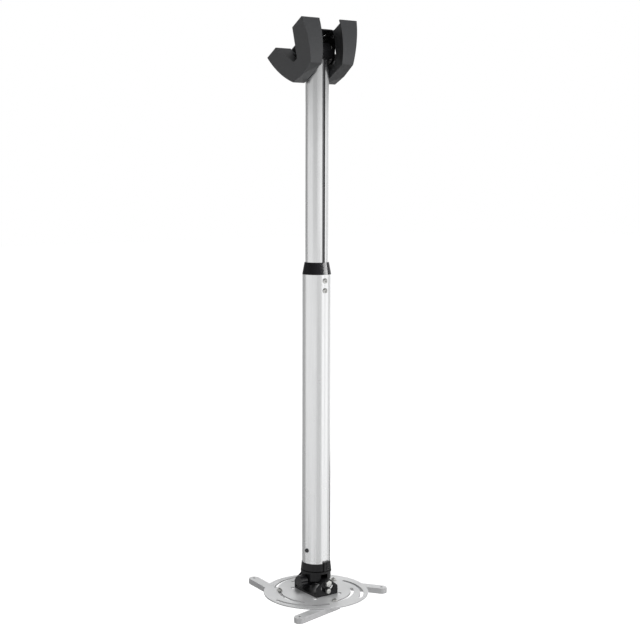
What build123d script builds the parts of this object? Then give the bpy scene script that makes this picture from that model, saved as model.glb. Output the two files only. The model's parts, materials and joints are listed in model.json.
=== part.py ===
from build123d import *
from math import atan, cos, degrees, radians, sin, sqrt, tan
import os

# Projector ceiling mount: a telescopic pole on a tilting ceiling hinge, with a
# two-axis head, a slotted disc and three swinging arms. Millimetres, +Z up.
# The origin is the centre of the bracket's ceiling face. The ceiling slopes,
# so the pole hangs plumb below a bracket that is turned about the Y axis.

# Fits and clearances
RUNNING = 0.08          # radial clearance of a pin or tube that turns or slides
FIT = 0.1               # radial clearance of a plug or bolt in its own hole
SKIM = 0.15             # gap between flat faces that turn past each other
FREE = 0.3              # gap round a bolt that runs in a slot

# Ceiling hinge
ROOF_SLOPE = 30.0       # degrees
PIVOT_DROP = 40.0       # pivot axis below the ceiling
SHEET = 3.5
BRACKET_LENGTH = 76.0
EAR_SPACE = 56.0        # between the two ears
EAR_STRAIGHT = 20.0     # depth of the ears' parallel edges
EAR_TIP_R = 17.0
BEND_R = 2.0            # inside radius of the sheet's bends
CEILING_PCD = 56.0
CEILING_HOLE_R = 3.5
TILT_EACH_WAY = 60.0    # degrees from the ceiling's normal
LOCK_CIRCLE_R = 21.0    # lock bolt's distance from the pivot
FRICTION_WASHER = 1.0
FRICTION_WASHER_R = 14.0

# Covers
COVER_LENGTH = 145.0    # along the ceiling
COVER_FLOOR = 72.0      # length of the lower end
COVER_DEPTH = 82.5
COVER_CREASE = 4.0      # shallow keel of the lower end, which fades out towards the gap
COVER_BULGE = 7.0       # how far the end walls bow out
COVER_GAP = 50.0        # the pole swings in this gap
COVER_REACH = 43.5      # depth of each half at the ceiling
COVER_REACH_LOW = 28.0  # and at its lower end
COVER_WALL = 2.5
COVER_EDGE_R = 1.2
NOTCH_MOUTH = 70.0
NOTCH_FLOOR = 13.0
NOTCH_DEPTH = 54.0
NOTCH_CORNER_R = 4.0
BOSS_R = 4.5
BOSS_DEPTH = 14.0       # below the ceiling
BOSS_MARGIN = 4.5       # boss centre inside the ear's edge
COVER_SCREW = 13.0
HINGE_ROOM = 9.5        # the notch walls stand this far off the ears round the hinge
HINGE_ROOM_R = 30.0
WINDOW_ROOM = 3.0       # round the ears, in the wall next to the gap
GAP_WALL_DROP = 7.0     # that wall's top below the ceiling

# Pole head
TUBE_SETBACK = 8.0      # top of the upper tube below the pivot
HEAD_SPIGOT = 60.0
HEAD_WALL = 5.0
HEAD_FLANGE = 2.5
HEAD_LENGTH = 36.0
HEAD_SHOULDER = 11.5    # above the pivot
HEAD_LUG_R = 7.0
HEAD_SCREW_MID = 3.0    # above the pivot
HEAD_SCREW_PITCH = 9.0
HEAD_SCREW = 10.0

# Tubes
UPPER_R = 24.0
UPPER_WALL = 2.5
UPPER_LENGTH = 692.0
GROOVE_WIDTH = 7.5
GROOVE_DEPTH = 4.0
LOWER_R = 30.0
LOWER_WALL = 2.5
LOWER_LENGTH = 615.0
BUSH_LENGTH = 26.0
BUSH_LIP = 3.0

# Guide ring on the lower tube
RING_DROP = 421.0       # top of the ring below the pivot, as set in this pose
RING_HEIGHT = 25.0
RING_LIP = 0.4          # ring stands this far proud of the tube
RING_TOP_WALL = 1.6
RING_SPIGOT = 45.0
CLAMP_FIRST = 12.5      # first clamp screw below the ring
CLAMP_PITCH = 20.4

# End collar
COLLAR_HEIGHT = 21.0
COLLAR_LIP = 0.6        # collar stands this far proud of the tube
COLLAR_FLARE = 2.4
COLLAR_SPIGOT = 34.0
COLLAR_WALL = 5.0
COLLAR_FLOOR = 7.0
BAND_HEIGHT = 4.0       # plain band at the collar's lower rim
SEAM_WIDTH = 1.0        # groove above that band, and lengthways seams
SEAM_DEPTH = 0.7
SEAM_ANGLE = -45.0      # degrees from +X
PAD_ANGLE = 10.0        # degrees from +X
PAD_WIDTH = 18.0
PAD_PROUD = 1.6
PAD_LIFT = 4.0          # above the collar's underside
PAD_RISE = 4.0          # above the tube's end
PAD_SCREW_TOP = 4.5     # upper screw below the top of the pad
PAD_SCREW_PITCH = 9.5
PAD_SCREW = 4.0
SET_SCREW_RISE = 28.5
SET_SCREW_ANGLE = -75.0
SET_SCREW = 6.5

# Two-axis head
HEAD_DROP = 46.0        # collar's underside to the disc
GIMBAL_RISE = 28.0      # both tilt axes above the disc
HEAD_TILT = 15.0        # degrees each way, both axes
TILT_ROOM = 1.0         # over the cross block at full tilt
SPINDLE_R = 7.0
SWIVEL_WASHER = 2.0
SWIVEL_WASHER_R = 14.0
YOKE_R = 31.5
YOKE_SKIRT = 16.0
YOKE_EAR_IN = 18.0      # inside face of each ear from the middle
YOKE_EAR = 9.0
YOKE_EAR_HALF = 15.0
YOKE_EAR_TIP_R = 13.0
HUB_R = 10.0
BAR_HALF_WIDTH = 8.0    # the cross block's bar
BAR_HALF_HEIGHT = 6.5
LEG_THICK = 6.0
LEG_HALF_WIDTH = 7.0
LEG_TOE = 5.0           # leg below its lock bolt
LOCK_ARC_R = 16.5
LOCK_ARC_HALF = 55.0    # degrees
ROLL_THREAD = 17.0      # roll bolt's length in the cross block

# Plate bracket, disc and arms
FLANGE_REACH = 42.0     # outside of its flanges from the middle
BASE_HALF_WIDTH = 27.0
BASE_WALL = 4.0
BASE_BEND_R = 1.2
SHOULDER = 23.0         # flange height beside the pivot ear
SHOULDER_R = 8.0
PIVOT_EAR_R = 10.0
RIVET_X = 24.0
RIVET_Y = 17.0
RIVET_R = 2.5
RIVET_HEAD_R = 4.5
RIVET_HEAD = 2.0
DISC_R = 112.0
DISC_THICK = 3.0
DISC_EDGE_R = 0.6
INNER_SLOT_R = 78.0
SLOT_SWEEP = 70.0       # degrees
FIRST_SCREW_ANGLE = -4.3
OUTER_START_ANGLE = 32.0
OUTER_START_R = 102.0
OUTER_END_R = 89.0
SIGHT_HOLE_R = 5.5
SIGHT_HOLE_X = 42.0
SIGHT_HOLE_Y = 31.0
ARM_LENGTH = 110.0      # screw to outer hole
ARM_R = 11.5
ARM_HEIGHT = 12.0
ARM_TOP = 3.0
ARM_WALL = 2.5
ARM_HOLE_R = 2.75
ARM_EDGE_R = 1.0
ARM_ANGLES = (-72.0, -79.0, -58.0)  # from each screw's radius, as set in this pose

# Fasteners: shank radius, across flats, head height, nut height
M10 = (5.0, 17.0, 6.4, 8.0)
M8 = (4.0, 13.0, 5.3, 6.5)
M6 = (3.0, 10.0, 4.0, 5.0)
M5_R = 2.5
M4_R = 2.0
WASHER = 1.6
WASHER_MARGIN = 1.0     # washer radius beyond the head's corners
BOLT_TAIL = 2.0         # bolt end past its nut
BUTTON_R = 1.8          # button head radius over shank radius
BUTTON_H = 1.1          # and its height
BUTTON_ROUND = 0.7      # rounding over head height
SOCKET_AF = 1.3         # socket across flats over shank radius
HEX_CHAMFER = 0.7
KNOB_R = 13.0
KNOB_LENGTH = 17.0
KNOB_BORE = 10.0
KNOB_FLUTES = 6
KNOB_FLUTE_R = 4.5
KNOB_FLUTE_DEPTH = 1.8
KNOB_EDGE_R = 1.0

# Places worked out from the sizes
POLE_X = PIVOT_DROP * sin(radians(ROOF_SLOPE))
PIVOT_Z = -PIVOT_DROP * cos(radians(ROOF_SLOPE))
TUBE_TOP_Z = PIVOT_Z - TUBE_SETBACK
UPPER_END_Z = TUBE_TOP_Z - UPPER_LENGTH
RING_BASE_Z = PIVOT_Z - RING_DROP - RING_HEIGHT
LOWER_END_Z = RING_BASE_Z - LOWER_LENGTH
COLLAR_BASE_Z = LOWER_END_Z - COLLAR_HEIGHT
DISC_Z = COLLAR_BASE_Z - HEAD_DROP
GIMBAL_Z = DISC_Z + GIMBAL_RISE
UPPER_BORE = UPPER_R - UPPER_WALL
LOWER_BORE = LOWER_R - LOWER_WALL
EAR_OUT = EAR_SPACE / 2 + SHEET
TONGUE_HALF = EAR_SPACE / 2 - FRICTION_WASHER - SKIM
HEAD_BASE = HEAD_FLANGE - TUBE_SETBACK
LOCK_SLOT_HALF = M6[0] + FREE
CROSS_REACH = FLANGE_REACH - BASE_WALL - FREE
SPINDLE_TOP = HEAD_DROP - GIMBAL_RISE + COLLAR_FLOOR + SKIM
YOKE_EAR_OUT = YOKE_EAR_IN + YOKE_EAR
LOCK_SEAT = EAR_OUT + SKIM + WASHER
ROLL_SEAT = FLANGE_REACH + SKIM + WASHER
PIVOT_SEAT = EAR_OUT + WASHER
TILT_SEAT = YOKE_EAR_OUT + WASHER
BOSS_X = BRACKET_LENGTH / 2 - BOSS_MARGIN
HEAD_SCREW_Z = [HEAD_SCREW_MID + s * HEAD_SCREW_PITCH / 2 for s in (-1, 1)]
CLAMP_DROPS = [CLAMP_FIRST, CLAMP_FIRST + CLAMP_PITCH]
PAD_FACE = LOWER_R + COLLAR_LIP + COLLAR_FLARE + PAD_PROUD
PAD_SCREW_Z = [PAD_RISE - PAD_SCREW_TOP, PAD_RISE - PAD_SCREW_TOP - PAD_SCREW_PITCH]

ROOF = Rot(0, -ROOF_SLOPE, 0)
HINGE = ROOF * Pos(0, 0, -PIVOT_DROP)
PIVOT = Pos(POLE_X, 0, PIVOT_Z)
LOCK = Pos(POLE_X, 0, PIVOT_Z + LOCK_CIRCLE_R)
UPPER_TOP = Pos(POLE_X, 0, TUBE_TOP_Z)
UPPER_END = Pos(POLE_X, 0, UPPER_END_Z)
RING = Pos(POLE_X, 0, RING_BASE_Z)
FOOT = Pos(POLE_X, 0, LOWER_END_Z)
GIMBAL = Pos(POLE_X, 0, GIMBAL_Z)
PLATE = Pos(POLE_X, 0, DISC_Z)
TO_X = Rot(0, 90, 0)    # turns a shape's +Z to +X
TO_BACK = Rot(-90, 0, 0)
TO_FRONT = Rot(90, 0, 0)
BASE = (Align.CENTER, Align.CENTER, Align.MIN)
SIDES = (Rot(0, 0, 0), Rot(0, 0, 180))


# Plain shapes
def rod(radius, low, high):
    return Pos(0, 0, low) * Cylinder(radius, high - low, align=BASE)


def pipe(inner, outer, low, high):
    return rod(outer, low, high) - rod(inner, low, high)


def block(x0, x1, y0, y1, z0, z1):
    middle = Pos((x0 + x1) / 2, (y0 + y1) / 2, (z0 + z1) / 2)
    return middle * Box(x1 - x0, y1 - y0, z1 - z0)


def turned(points):
    """A solid of revolution about Z from (radius, z) points."""
    return revolve(Plane.XZ * make_face(Polyline(*points, close=True)), Axis.Z)


def polar(radius, angle):
    return (radius * cos(radians(angle)), radius * sin(radians(angle)))


def arc_slot(points, half_width):
    """The outline of a round-ended slot along an arc through three points."""
    band = trace(ThreePointArc(*points), 2 * half_width)
    ends = [Pos(*p) * Circle(half_width) for p in (points[0], points[2])]
    return band + ends


def group(shapes):
    return Compound(children=list(shapes))


# Fasteners, standing on Z = 0 with their shanks going down
def hex_head(across, height):
    prism = extrude(RegularPolygon(across / 2, 6, major_radius=False), height)
    limit = rod(across / sqrt(3), 0, height)
    return prism & chamfer(limit.edges().group_by(Axis.Z)[-1], HEX_CHAMFER)


def hex_bolt(size, length):
    shank, across, head, _ = size
    return hex_head(across, head) + rod(shank, -length, 0)


def hex_nut(size):
    shank, across, _, height = size
    return hex_head(across, height) - rod(shank, 0, height)


def washer(size):
    shank, across, _, _ = size
    return pipe(shank, across / sqrt(3) + WASHER_MARGIN, 0, WASHER)


def button_screw(shank, length):
    height = BUTTON_H * shank
    head = rod(BUTTON_R * shank, 0, height)
    head = fillet(head.edges().group_by(Axis.Z)[-1], BUTTON_ROUND * height)
    socket = extrude(RegularPolygon(SOCKET_AF * shank / 2, 6, major_radius=False), height)
    return head + rod(shank, -length, 0) - Pos(0, 0, height / 2) * socket


# Ceiling bracket, with the ceiling at Z = 0
def ear_outline():
    half = BRACKET_LENGTH / 2
    tip = Pos(0, -PIVOT_DROP) * Circle(EAR_TIP_R)
    upper = Polyline((-half, -EAR_STRAIGHT), (-half, 0), (half, 0), (half, -EAR_STRAIGHT))
    return make_hull(tip.edges() + upper.edges())


def lock_slot():
    points = []
    for angle in (-TILT_EACH_WAY, 0, TILT_EACH_WAY):
        along, rise = polar(LOCK_CIRCLE_R, 90 - angle)
        points.append((along, rise - PIVOT_DROP))
    return Plane.XZ * extrude(arc_slot(points, LOCK_SLOT_HALF), EAR_OUT, both=True)


def make_bracket():
    half = BRACKET_LENGTH / 2
    ends = block(-half, half, -EAR_OUT, EAR_OUT, -PIVOT_DROP - EAR_TIP_R, 0)
    ends = fillet(ends.edges().filter_by(Axis.X).group_by(Axis.Z)[-1], BEND_R + SHEET)
    hollow = block(-half, half, -EAR_SPACE / 2, EAR_SPACE / 2, -PIVOT_DROP - EAR_TIP_R, -SHEET)
    hollow = fillet(hollow.edges().filter_by(Axis.X).group_by(Axis.Z)[-1], BEND_R)
    strap = (ends - hollow) & Plane.XZ * extrude(ear_outline(), EAR_OUT, both=True)
    strap -= lock_slot()
    strap -= Pos(0, 0, -PIVOT_DROP) * TO_BACK * rod(M10[0] + FIT, -EAR_OUT, EAR_OUT)
    for x in (-BOSS_X, BOSS_X):
        strap -= Pos(x, 0, -BOSS_DEPTH) * TO_BACK * rod(M4_R + FIT, -EAR_OUT, EAR_OUT)
    for spot in PolarLocations(CEILING_PCD / 2, 4, start_angle=45):
        strap -= spot * rod(CEILING_HOLE_R, -SHEET, 0)
    return strap


# Front cover, with the ceiling at Z = 0
def bowed(start, end):
    """An arc that bows out to the left of its run."""
    dx, dy = end[0] - start[0], end[1] - start[1]
    share = COVER_BULGE / sqrt(dx * dx + dy * dy)
    middle = ((start[0] + end[0]) / 2 - share * dy, (start[1] + end[1]) / 2 + share * dx)
    return ThreePointArc(start, middle, end)


def cover_side_view(top):
    half, low = COVER_LENGTH / 2, COVER_FLOOR / 2
    right = bowed((half, 0), (low, -COVER_DEPTH))
    keel = Polyline((low, -COVER_DEPTH), (0, -COVER_DEPTH - COVER_CREASE), (-low, -COVER_DEPTH))
    left = bowed((-low, -COVER_DEPTH), (-half, 0))
    corners = [(-half, top), (half, top)] if top else []
    lid = Polyline((-half, 0), *corners, (half, 0))
    return make_face(right.edges() + keel.edges() + left.edges() + lid.edges())


def cover_end_view(top):
    """The outer face leans in towards its lower end, and the floor rises to the gap."""
    lean = (COVER_REACH - COVER_REACH_LOW) / COVER_DEPTH
    floor = COVER_DEPTH + COVER_CREASE
    inner, outer = COVER_GAP / 2, COVER_GAP / 2 + COVER_REACH
    outer_top, outer_low = (outer + lean * top, top), (outer - lean * floor, -floor)
    corners = [(inner, top), outer_top, outer_low, (inner, -COVER_DEPTH)]
    return make_face(Polyline(*corners, close=True))


def cover_block(side_view, end_view):
    across = Plane.XZ * extrude(side_view, COVER_GAP + COVER_REACH)
    lengthways = Plane((0, 0, 0), x_dir=(0, -1, 0), z_dir=(-1, 0, 0))
    return across & lengthways * extrude(end_view, COVER_LENGTH, both=True)


def notch_outline(top):
    mouth, floor = NOTCH_MOUTH / 2, NOTCH_FLOOR / 2
    corners = [(-mouth, top), (-mouth, 0), (-floor, -NOTCH_DEPTH), (floor, -NOTCH_DEPTH), (mouth, 0)]
    face = make_face(Polyline(*corners, (mouth, top), close=True))
    return fillet(face.vertices().group_by(Axis.Y)[0], NOTCH_CORNER_R)


def hinge_window(top):
    """The opening round the ears and the pole head in the wall next to the gap."""
    side = BRACKET_LENGTH / 2 + WINDOW_ROOM
    swing = Pos(0, -PIVOT_DROP) * Circle(HINGE_ROOM_R)
    mouth = Polyline((-side, -EAR_STRAIGHT), (-side, top), (side, top), (side, -EAR_STRAIGHT))
    return make_hull(swing.edges() + mouth.edges())


def make_front_cover():
    lift = 2 * COVER_WALL
    reach = COVER_GAP + COVER_REACH
    gap_wall = COVER_GAP / 2 + COVER_WALL
    outer = cover_block(cover_side_view(0), cover_end_view(0))
    ends = outer.faces().sort_by(Axis.X)
    rims = [outer.faces().sort_by(Axis.Y)[0], ends[0], ends[-1]]
    crisp = {e for face in rims for e in face.edges()}
    crisp = [e for e in crisp if e.center().Z < -SKIM and e.center().Y < -COVER_GAP / 2 - SKIM]
    outer = fillet(crisp, COVER_EDGE_R)
    side = offset(cover_side_view(lift), -COVER_WALL, kind=Kind.INTERSECTION)
    end = offset(cover_end_view(lift), -COVER_WALL, kind=Kind.INTERSECTION)
    notch = notch_outline(lift)
    walls = offset(notch, COVER_WALL, kind=Kind.INTERSECTION)
    bosses = [Pos(x, 0, -BOSS_DEPTH) * TO_FRONT * rod(BOSS_R, EAR_OUT, reach) for x in (-BOSS_X, BOSS_X)]
    trough = Pos(0, -EAR_OUT, 0) * (Plane.XZ * extrude(walls, reach))
    room = cover_block(side, end) - trough - bosses
    shell = outer - room - Plane.XZ * extrude(notch, reach)
    shell -= Plane.XZ * extrude(hinge_window(lift), gap_wall)
    recess = block(-COVER_LENGTH, COVER_LENGTH, -gap_wall, 0, -GAP_WALL_DROP, lift)
    shell -= recess & Plane.XZ * extrude(side, gap_wall)
    shell -= Pos(0, 0, -PIVOT_DROP) * TO_FRONT * rod(HINGE_ROOM_R, 0, EAR_OUT + HINGE_ROOM)
    for x in (-BOSS_X, BOSS_X):
        shell -= Pos(x, 0, -BOSS_DEPTH) * TO_FRONT * rod(M4_R, EAR_OUT, EAR_OUT + COVER_SCREW)
    return shell


def cover_screws():
    screw = Pos(0, -EAR_SPACE / 2, 0) * TO_BACK * button_screw(M4_R, COVER_SCREW)
    pair = [Pos(x, 0, -BOSS_DEPTH) * screw for x in (-BOSS_X, BOSS_X)]
    return [ROOF * turn * s for turn in SIDES for s in pair]


# A bolt across the hinge or the head: head to the front, nut to the back
def cross_bolt(size, seat):
    length = 2 * seat + size[3] + BOLT_TAIL
    return Pos(0, -seat, 0) * TO_FRONT * hex_bolt(size, length)


def cross_nut(size, seat):
    return Pos(0, seat, 0) * TO_BACK * hex_nut(size)


def washer_pair(size, seat):
    ring = Pos(0, seat - WASHER, 0) * TO_BACK * washer(size)
    return [turn * ring for turn in SIDES]


def friction_washers():
    inner = EAR_SPACE / 2 - FRICTION_WASHER
    ring = TO_BACK * pipe(M10[0] + FIT, FRICTION_WASHER_R, inner, EAR_SPACE / 2)
    return [HINGE * turn * ring for turn in SIDES]


# Pole head, about its pivot
def make_head():
    half = HEAD_LENGTH / 2
    lug = Pos(0, LOCK_CIRCLE_R) * Circle(HEAD_LUG_R)
    sides = Polyline((-half, HEAD_SHOULDER), (-half, HEAD_BASE), (half, HEAD_BASE), (half, HEAD_SHOULDER))
    tongue = Plane.XZ * extrude(make_hull(lug.edges() + sides.edges()), TONGUE_HALF, both=True)
    plug = UPPER_BORE - FIT
    foot = -TUBE_SETBACK - HEAD_SPIGOT
    spigot = pipe(plug - HEAD_WALL, plug, foot, -TUBE_SETBACK)
    spigot -= channel(UPPER_WALL + FIT, foot, -TUBE_SETBACK)
    head = tongue + rod(UPPER_R, -TUBE_SETBACK, HEAD_BASE) + spigot
    head -= TO_BACK * rod(M10[0] + RUNNING, -TONGUE_HALF, TONGUE_HALF)
    head -= Pos(0, 0, LOCK_CIRCLE_R) * TO_BACK * rod(M6[0], -TONGUE_HALF, TONGUE_HALF)
    for z in HEAD_SCREW_Z:
        head -= Pos(half, 0, z) * TO_X * rod(M4_R, -HEAD_SCREW, 0)
    return head


def head_screws():
    return [PIVOT * Pos(HEAD_LENGTH / 2, 0, z) * TO_X * button_screw(M4_R, HEAD_SCREW) for z in HEAD_SCREW_Z]


# Tubes
def channel(grow, low, high):
    """The groove pressed into the upper tube, grown by the metal round it."""
    half = GROOVE_WIDTH / 2 + grow
    return block(UPPER_R - GROOVE_DEPTH - grow, UPPER_R + GROOVE_DEPTH, -half, half, low, high)


def make_upper_tube():
    bore = rod(UPPER_BORE, -UPPER_LENGTH, 0) - channel(UPPER_WALL, -UPPER_LENGTH, 0)
    return rod(UPPER_R, -UPPER_LENGTH, 0) - bore - channel(0, -UPPER_LENGTH, 0)


def make_bush():
    outer = LOWER_BORE - RUNNING
    sleeve = pipe(UPPER_R + FIT, outer, 0, BUSH_LENGTH)
    key = channel(-FIT, 0, BUSH_LENGTH) & rod(outer, 0, BUSH_LENGTH)
    return sleeve + key + pipe(UPPER_BORE - GROOVE_DEPTH, outer, -BUSH_LIP, 0)


def make_lower_tube():
    tube = pipe(LOWER_BORE, LOWER_R, -LOWER_LENGTH, 0)
    for drop in CLAMP_DROPS:
        tube -= Pos(0, 0, -drop) * TO_X * rod(M6[0] + FIT, 0, LOWER_R)
    for turn in SIDES:
        tube -= turn * set_screw_place() * rod(M5_R + FIT, -LOWER_R, 0)
    return tube


def set_screw_place():
    """On the lower tube, measured from its upper end."""
    return Rot(0, 0, SET_SCREW_ANGLE) * Pos(LOWER_R, 0, SET_SCREW_RISE - LOWER_LENGTH) * TO_X


def make_ring():
    bore = UPPER_R + RUNNING
    cone = [(bore, 0), (LOWER_R + RING_LIP, 0), (bore + RING_TOP_WALL, RING_HEIGHT), (bore, RING_HEIGHT)]
    ring = turned(cone) + pipe(bore, LOWER_BORE - FIT, -RING_SPIGOT, 0)
    for drop in CLAMP_DROPS:
        ring -= Pos(0, 0, -drop) * TO_X * rod(M6[0], 0, LOWER_R)
    return ring


def clamp_screws():
    """Their tips run in the upper tube's groove."""
    length = LOWER_R - UPPER_R + GROOVE_DEPTH - FREE
    return [RING * Pos(LOWER_R, 0, -d) * TO_X * button_screw(M6[0], length) for d in CLAMP_DROPS]


# End collar, from the lower tube's end
def make_collar():
    plug = LOWER_BORE - FIT
    room = plug - COLLAR_WALL
    rim = LOWER_R + COLLAR_LIP
    hole = SPINDLE_R + RUNNING
    floor = COLLAR_FLOOR - COLLAR_HEIGHT
    outside = [(hole, -COLLAR_HEIGHT), (rim + COLLAR_FLARE, -COLLAR_HEIGHT), (rim, 0), (plug, 0)]
    inside = [(plug, COLLAR_SPIGOT), (room, COLLAR_SPIGOT), (room, floor), (hole, floor)]
    pad = block(room, PAD_FACE, -PAD_WIDTH / 2, PAD_WIDTH / 2, PAD_LIFT - COLLAR_HEIGHT, PAD_RISE)
    pad -= rod(LOWER_R + FIT, 0, PAD_RISE)
    collar = turned(outside + inside)
    step = COLLAR_FLARE / COLLAR_HEIGHT
    low, high = BAND_HEIGHT - COLLAR_HEIGHT, BAND_HEIGHT - COLLAR_HEIGHT + SEAM_WIDTH
    groove = rim - step * low - SEAM_DEPTH
    collar -= pipe(groove, rim + COLLAR_FLARE, low, high)
    seam = block(0, SEAM_DEPTH, -SEAM_WIDTH / 2, SEAM_WIDTH / 2, -COLLAR_HEIGHT, 0)
    lean = Rot(0, -degrees(atan(step)), 0)
    for turn in SIDES:
        collar -= turn * Rot(0, 0, SEAM_ANGLE) * Pos(rim - SEAM_DEPTH, 0, 0) * lean * seam
    collar += Rot(0, 0, PAD_ANGLE) * pad
    for z in PAD_SCREW_Z:
        collar -= Rot(0, 0, PAD_ANGLE) * Pos(PAD_FACE, 0, z) * TO_X * rod(M4_R, -PAD_SCREW, 0)
    for turn in SIDES:
        collar -= turn * Pos(0, 0, LOWER_LENGTH) * set_screw_place() * rod(M5_R, -SET_SCREW, 0)
    return collar


def pad_screws():
    turn = FOOT * Rot(0, 0, PAD_ANGLE)
    return [turn * Pos(PAD_FACE, 0, z) * TO_X * button_screw(M4_R, PAD_SCREW) for z in PAD_SCREW_Z]


def set_screws():
    return [RING * turn * set_screw_place() * button_screw(M5_R, SET_SCREW) for turn in SIDES]


# Two-axis head, about the crossing of its axes
def make_yoke():
    top = HEAD_DROP - GIMBAL_RISE - SKIM
    skirt = top - YOKE_SKIRT
    half = YOKE_EAR_HALF
    tip = Circle(YOKE_EAR_TIP_R)
    sides = Polyline((-half, skirt), (-half, top), (half, top), (half, skirt))
    ear = Plane.XZ * extrude(make_hull(tip.edges() + sides.edges()), YOKE_EAR)
    yoke = rod(YOKE_R, skirt, top) & block(-YOKE_R, YOKE_R, -YOKE_EAR_OUT, YOKE_EAR_OUT, skirt, top)
    for turn in SIDES:
        yoke += turn * Pos(0, -YOKE_EAR_IN, 0) * ear
    peak = BAR_HALF_HEIGHT / cos(radians(HEAD_TILT)) + TILT_ROOM
    eave = peak + tan(radians(HEAD_TILT)) * YOKE_R
    roof = [(-YOKE_R, 0), (-YOKE_R, eave), (0, peak), (YOKE_R, eave), (YOKE_R, 0)]
    passage = extrude(make_face(Polyline(*roof, close=True)), BAR_HALF_WIDTH + FREE, both=True)
    yoke -= Plane.XZ * passage
    yoke -= TO_BACK * rod(HUB_R + FREE, -YOKE_EAR_IN, YOKE_EAR_IN)
    yoke -= TO_BACK * rod(M8[0] + FIT, -YOKE_EAR_OUT, YOKE_EAR_OUT)
    stud = SPINDLE_TOP + SWIVEL_WASHER + M10[3] + BOLT_TAIL
    return yoke + rod(SPINDLE_R, top, SPINDLE_TOP) + rod(M10[0], SPINDLE_TOP, stud)


def swivel_washer():
    return GIMBAL * pipe(M10[0] + FIT, SWIVEL_WASHER_R, SPINDLE_TOP, SPINDLE_TOP + SWIVEL_WASHER)


def tilt_bolt():
    """Its head is at the back; its end is inside the knob."""
    bolt = hex_bolt(M8, 2 * TILT_SEAT + KNOB_BORE)
    return GIMBAL * Rot(0, 0, 180) * Pos(0, -TILT_SEAT, 0) * TO_FRONT * bolt


def tilt_knob():
    knob = rod(KNOB_R, 0, KNOB_LENGTH)
    for spot in PolarLocations(KNOB_R + KNOB_FLUTE_R - KNOB_FLUTE_DEPTH, KNOB_FLUTES):
        knob -= spot * rod(KNOB_FLUTE_R, 0, KNOB_LENGTH)
    knob = fillet(knob.edges().group_by(Axis.Z)[-1], KNOB_EDGE_R)
    knob -= rod(M8[0], 0, KNOB_BORE)
    return GIMBAL * Pos(0, -TILT_SEAT, 0) * TO_FRONT * knob


def make_cross():
    hub = TO_BACK * rod(HUB_R, SKIM - YOKE_EAR_IN, YOKE_EAR_IN - SKIM)
    width, height = BAR_HALF_WIDTH, BAR_HALF_HEIGHT
    cross = hub + block(-CROSS_REACH, CROSS_REACH, -width, width, -height, height)
    toe = -LOCK_ARC_R - LEG_TOE
    leg = block(CROSS_REACH - LEG_THICK, CROSS_REACH, -LEG_HALF_WIDTH, LEG_HALF_WIDTH, toe, 0)
    leg = fillet(leg.edges().filter_by(Axis.X).group_by(Axis.Z)[0], LEG_TOE)
    cross += [turn * leg for turn in SIDES]
    cross -= TO_BACK * rod(M8[0] + RUNNING, -YOKE_EAR_IN, YOKE_EAR_IN)
    for turn in SIDES:
        cross -= turn * TO_X * rod(M8[0], CROSS_REACH - ROLL_THREAD, CROSS_REACH)
        cross -= turn * Pos(0, 0, -LOCK_ARC_R) * TO_X * rod(M6[0], CROSS_REACH - LEG_THICK, CROSS_REACH)
    return cross


def roll_bolts():
    length = ROLL_SEAT - CROSS_REACH + ROLL_THREAD
    return [GIMBAL * turn * Pos(ROLL_SEAT, 0, 0) * TO_X * hex_bolt(M8, length) for turn in SIDES]


def roll_lock_bolts():
    length = ROLL_SEAT - CROSS_REACH + LEG_THICK
    seat = Pos(ROLL_SEAT, 0, -LOCK_ARC_R) * TO_X
    return [GIMBAL * turn * seat * hex_bolt(M6, length) for turn in SIDES]


def roll_washers():
    wide = Pos(ROLL_SEAT - WASHER, 0, 0) * TO_X * washer(M8)
    small = Pos(ROLL_SEAT - WASHER, 0, -LOCK_ARC_R) * TO_X * washer(M6)
    return [GIMBAL * turn * ring for turn in SIDES for ring in (wide, small)]


# Plate bracket and disc, from the top of the disc
def make_plate_bracket():
    base = block(-FLANGE_REACH, FLANGE_REACH, -BASE_HALF_WIDTH, BASE_HALF_WIDTH, 0, BASE_WALL)
    shoulders = Pos(0, SHOULDER / 2) * Rectangle(2 * BASE_HALF_WIDTH, SHOULDER)
    shoulders = fillet(shoulders.vertices().group_by(Axis.Y)[-1], SHOULDER_R)
    tip = Pos(0, GIMBAL_RISE) * Circle(PIVOT_EAR_R)
    outline = make_hull(tip.edges() + shoulders.edges())
    points = []
    for angle in (-LOCK_ARC_HALF, 0, LOCK_ARC_HALF):
        along, rise = polar(LOCK_ARC_R, angle - 90)
        points.append((along, rise + GIMBAL_RISE))
    flange = extrude(outline - arc_slot(points, LOCK_SLOT_HALF), BASE_WALL)
    flange = Pos(FLANGE_REACH - BASE_WALL, 0, 0) * (Plane.YZ * flange)
    bracket = base + [turn * flange for turn in SIDES]
    edges = bracket.edges().filter_by(Axis.Y)
    inside = [e for e in edges if abs(e.center().Z - BASE_WALL) < FIT]
    bracket = fillet([e for e in inside if abs(e.center().X) < FLANGE_REACH - FIT], BASE_BEND_R)
    outside = [e for e in bracket.edges().filter_by(Axis.Y) if abs(e.center().X) > FLANGE_REACH - FIT]
    bracket = fillet([e for e in outside if e.center().Z < FIT], BASE_BEND_R + BASE_WALL / 2)
    bracket -= Pos(0, 0, GIMBAL_RISE) * TO_X * rod(M8[0] + RUNNING, -FLANGE_REACH, FLANGE_REACH)
    for spot in GridLocations(2 * RIVET_X, 2 * RIVET_Y, 2, 2):
        bracket -= spot * rod(RIVET_R, 0, BASE_WALL)
    return bracket


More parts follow.
